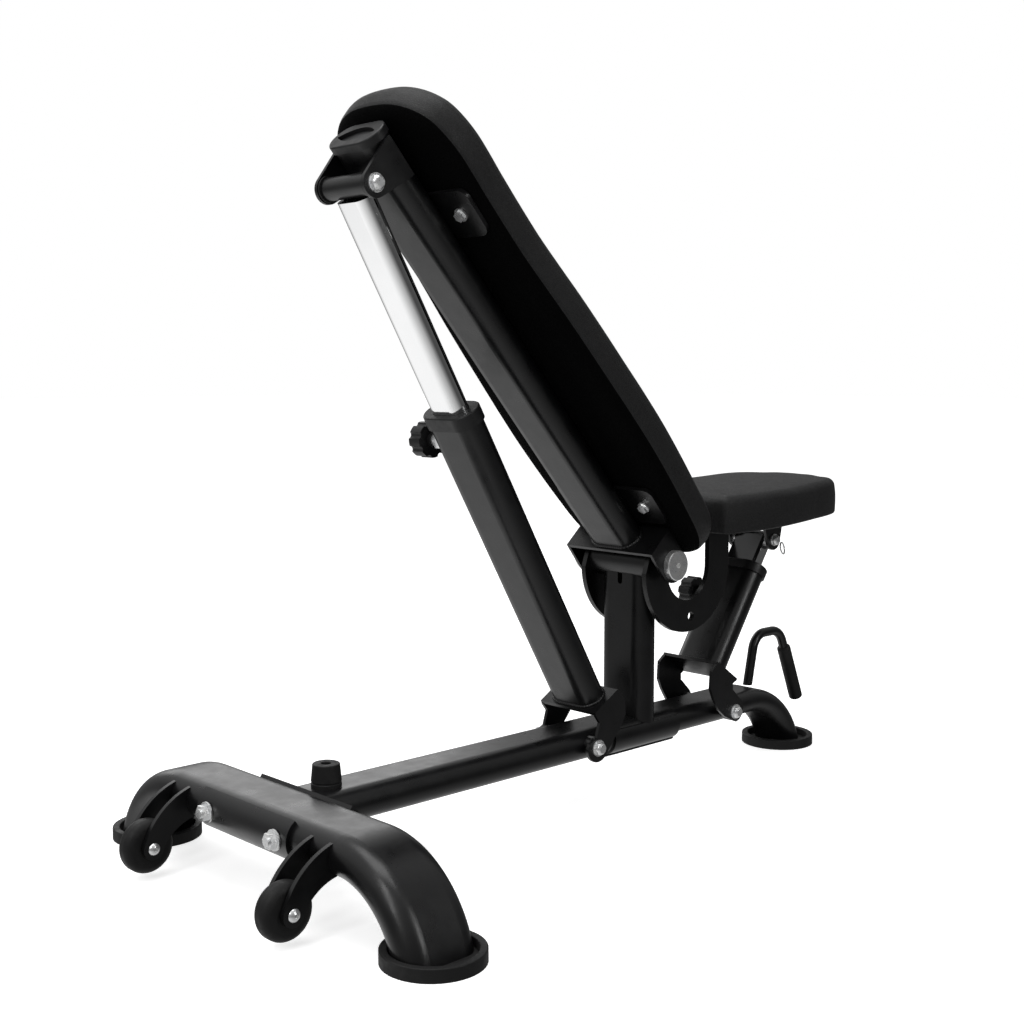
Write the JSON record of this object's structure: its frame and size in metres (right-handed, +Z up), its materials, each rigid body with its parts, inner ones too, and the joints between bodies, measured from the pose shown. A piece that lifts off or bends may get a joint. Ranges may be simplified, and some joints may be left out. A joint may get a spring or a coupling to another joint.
{
  "type": "weight bench",
  "caption": "Adjustable weight bench: flat-oval steel base on rubber feet with transport wheels, reclining back pad, tilting seat pad and telescopic support struts.",
  "frame": {"origin": "on the floor, in the middle of the footprint, between the rear wheels' backs and the front foot's front", "axes": "+X towards the seat, +Y towards the side with the strut knobs, +Z up"},
  "size_m": [1.2254, 0.706, 0.9943],
  "materials": {
    "frame_coating": "satin black powder coat, fine texture",
    "zinc": "bright zinc plate",
    "chrome_tube": "polished chrome plate",
    "rubber": "moulded black rubber",
    "black_plastic": "moulded black plastic",
    "bush_plastic": "glass-filled nylon",
    "vinyl": "black pebble-grain vinyl over foam",
    "board": "plywood, covered by the upholstery"
  },
  "bodies": {
    "base": {"rear_foot": "frame_coating", "saddle_plates": "frame_coating", "foot_bolts": "zinc", "main_tube": "frame_coating", "front_foot": "frame_coating", "rubber_feet": "rubber", "wheel_brackets": "frame_coating", "wheel_axles": "zinc", "frame_bumper": "rubber", "post": "frame_coating", "pivot_sleeve": "frame_coating", "pivot_bushes": "bush_plastic", "strut_foot_sleeves": "frame_coating", "strut_foot_bushes": "bush_plastic", "joint_channel": "frame_coating", "joint_bar": "frame_coating", "joint_screws": "zinc", "lift_handle": "frame_coating", "lift_grip": "rubber"},
    "wheel_left": {"wheel_left": "rubber"},
    "wheel_right": {"wheel_right": "rubber"},
    "pivot_bolt": {"pivot_bolt": "zinc"},
    "back": {"pivot_bracket": "frame_coating", "back_tube": "frame_coating", "back_cap": "black_plastic", "top_clevis": "frame_coating", "clevis_sleeve": "frame_coating", "clevis_bushes": "bush_plastic", "clevis_bolt": "zinc", "pad_plates": "frame_coating", "pad_screws": "zinc", "back_board": "board", "back_cushion": "vinyl", "pivot_spacers": "frame_coating"},
    "strut_foot_bolt": {"strut_foot_bolt": "zinc"},
    "strut_outer": {"strut_bracket": "frame_coating", "strut_tube": "frame_coating", "strut_collar": "black_plastic", "strut_plunger_housing": "zinc"},
    "strut_liner": {"strut_liner": "black_plastic"},
    "strut_inner": {"strut_inner_tube": "chrome_tube"},
    "strut_knob": {"strut_plunger": "zinc", "strut_knob": "black_plastic"},
    "seat": {"side_plates": "frame_coating", "seat_plate": "frame_coating", "seat_clevis": "frame_coating", "seat_clevis_washers": "zinc", "seat_clevis_bolt": "zinc", "seat_board": "board", "seat_cushion": "vinyl"},
    "seat_strut_outer": {"seat_strut_bracket": "frame_coating", "seat_strut_foot_bolt": "zinc", "seat_strut_tube": "frame_coating", "seat_strut_collar": "black_plastic", "seat_plunger_housing": "zinc"},
    "seat_strut_inner": {"seat_strut_bar": "chrome_tube"},
    "seat_knob": {"seat_plunger": "zinc", "seat_knob": "black_plastic"}
  },
  "joints": [
    {"name": "back_recline_low", "type": "hinge", "parent": "base", "child": "pivot_bolt", "pos_m": [0.1647, 0, 0.3522], "axis": [0, 1, 0], "range_deg": [-48, 0]},
    {"name": "back_recline_high", "type": "hinge", "parent": "pivot_bolt", "child": "back", "pos_m": [0.1647, 0, 0.3522], "axis": [0, 1, 0], "range_deg": [0, 27]},
    {"name": "strut_swing_low", "type": "hinge", "parent": "base", "child": "strut_foot_bolt", "pos_m": [0.036, 0, 0.094], "axis": [0, 1, 0], "range_deg": [-44.81, 0]},
    {"name": "strut_swing_high", "type": "hinge", "parent": "strut_foot_bolt", "child": "strut_outer", "pos_m": [0.036, 0, 0.094], "axis": [0, 1, 0], "range_deg": [0, 21.33]},
    {"name": "strut_slide_low", "type": "slide", "parent": "strut_outer", "child": "strut_liner", "axis": [-0.5045, 0, 0.8634], "range_m": [-0.2287, 0]},
    {"name": "strut_slide_high", "type": "slide", "parent": "strut_liner", "child": "strut_inner", "axis": [-0.5045, 0, 0.8634], "range_m": [0, 0.0934]},
    {"name": "seat_tilt", "type": "hinge", "parent": "base", "child": "seat", "pos_m": [0.1647, 0, 0.3522], "axis": [0, -1, 0], "range_deg": [0, 10]},
    {"name": "seat_strut_swing", "type": "hinge", "parent": "base", "child": "seat_strut_outer", "pos_m": [0.358, 0, 0.094], "axis": [0, -1, 0], "range_deg": [0, 6.39]},
    {"name": "seat_strut_slide", "type": "slide", "parent": "seat_strut_outer", "child": "seat_strut_inner", "axis": [0.5707, 0, 0.8211], "range_m": [0, 0.0496]},
    {"name": "strut_knob_pull", "type": "slide", "parent": "strut_outer", "child": "strut_knob", "axis": [0, 1, 0], "range_m": [0, 0.01], "stiffness_N_per_m": 800, "springref_m": -0.005},
    {"name": "seat_knob_pull", "type": "slide", "parent": "seat_strut_outer", "child": "seat_knob", "axis": [0, 1, 0], "range_m": [0, 0.01], "stiffness_N_per_m": 800, "springref_m": -0.005},
    {"name": "wheel_left_roll", "type": "hinge", "parent": "base", "child": "wheel_left", "pos_m": [-0.5767, 0.1508, 0.042], "axis": [0, 1, 0], "continuous": true},
    {"name": "wheel_right_roll", "type": "hinge", "parent": "base", "child": "wheel_right", "pos_m": [-0.5767, -0.1508, 0.042], "axis": [0, 1, 0], "continuous": true}
  ],
  "couplings": [
    {"joint": "strut_swing_low", "follows": "back_recline_low", "ratio": 0.92931},
    {"joint": "strut_slide_low", "follows": "back_recline_low", "m_per_rad": 0.27179},
    {"joint": "strut_swing_high", "follows": "back_recline_high", "ratio": 0.78255},
    {"joint": "strut_slide_high", "follows": "back_recline_high", "m_per_rad": 0.19617},
    {"joint": "seat_strut_swing", "follows": "seat_tilt", "ratio": 0.61938},
    {"joint": "seat_strut_slide", "follows": "seat_tilt", "m_per_rad": 0.2786}
  ]
}
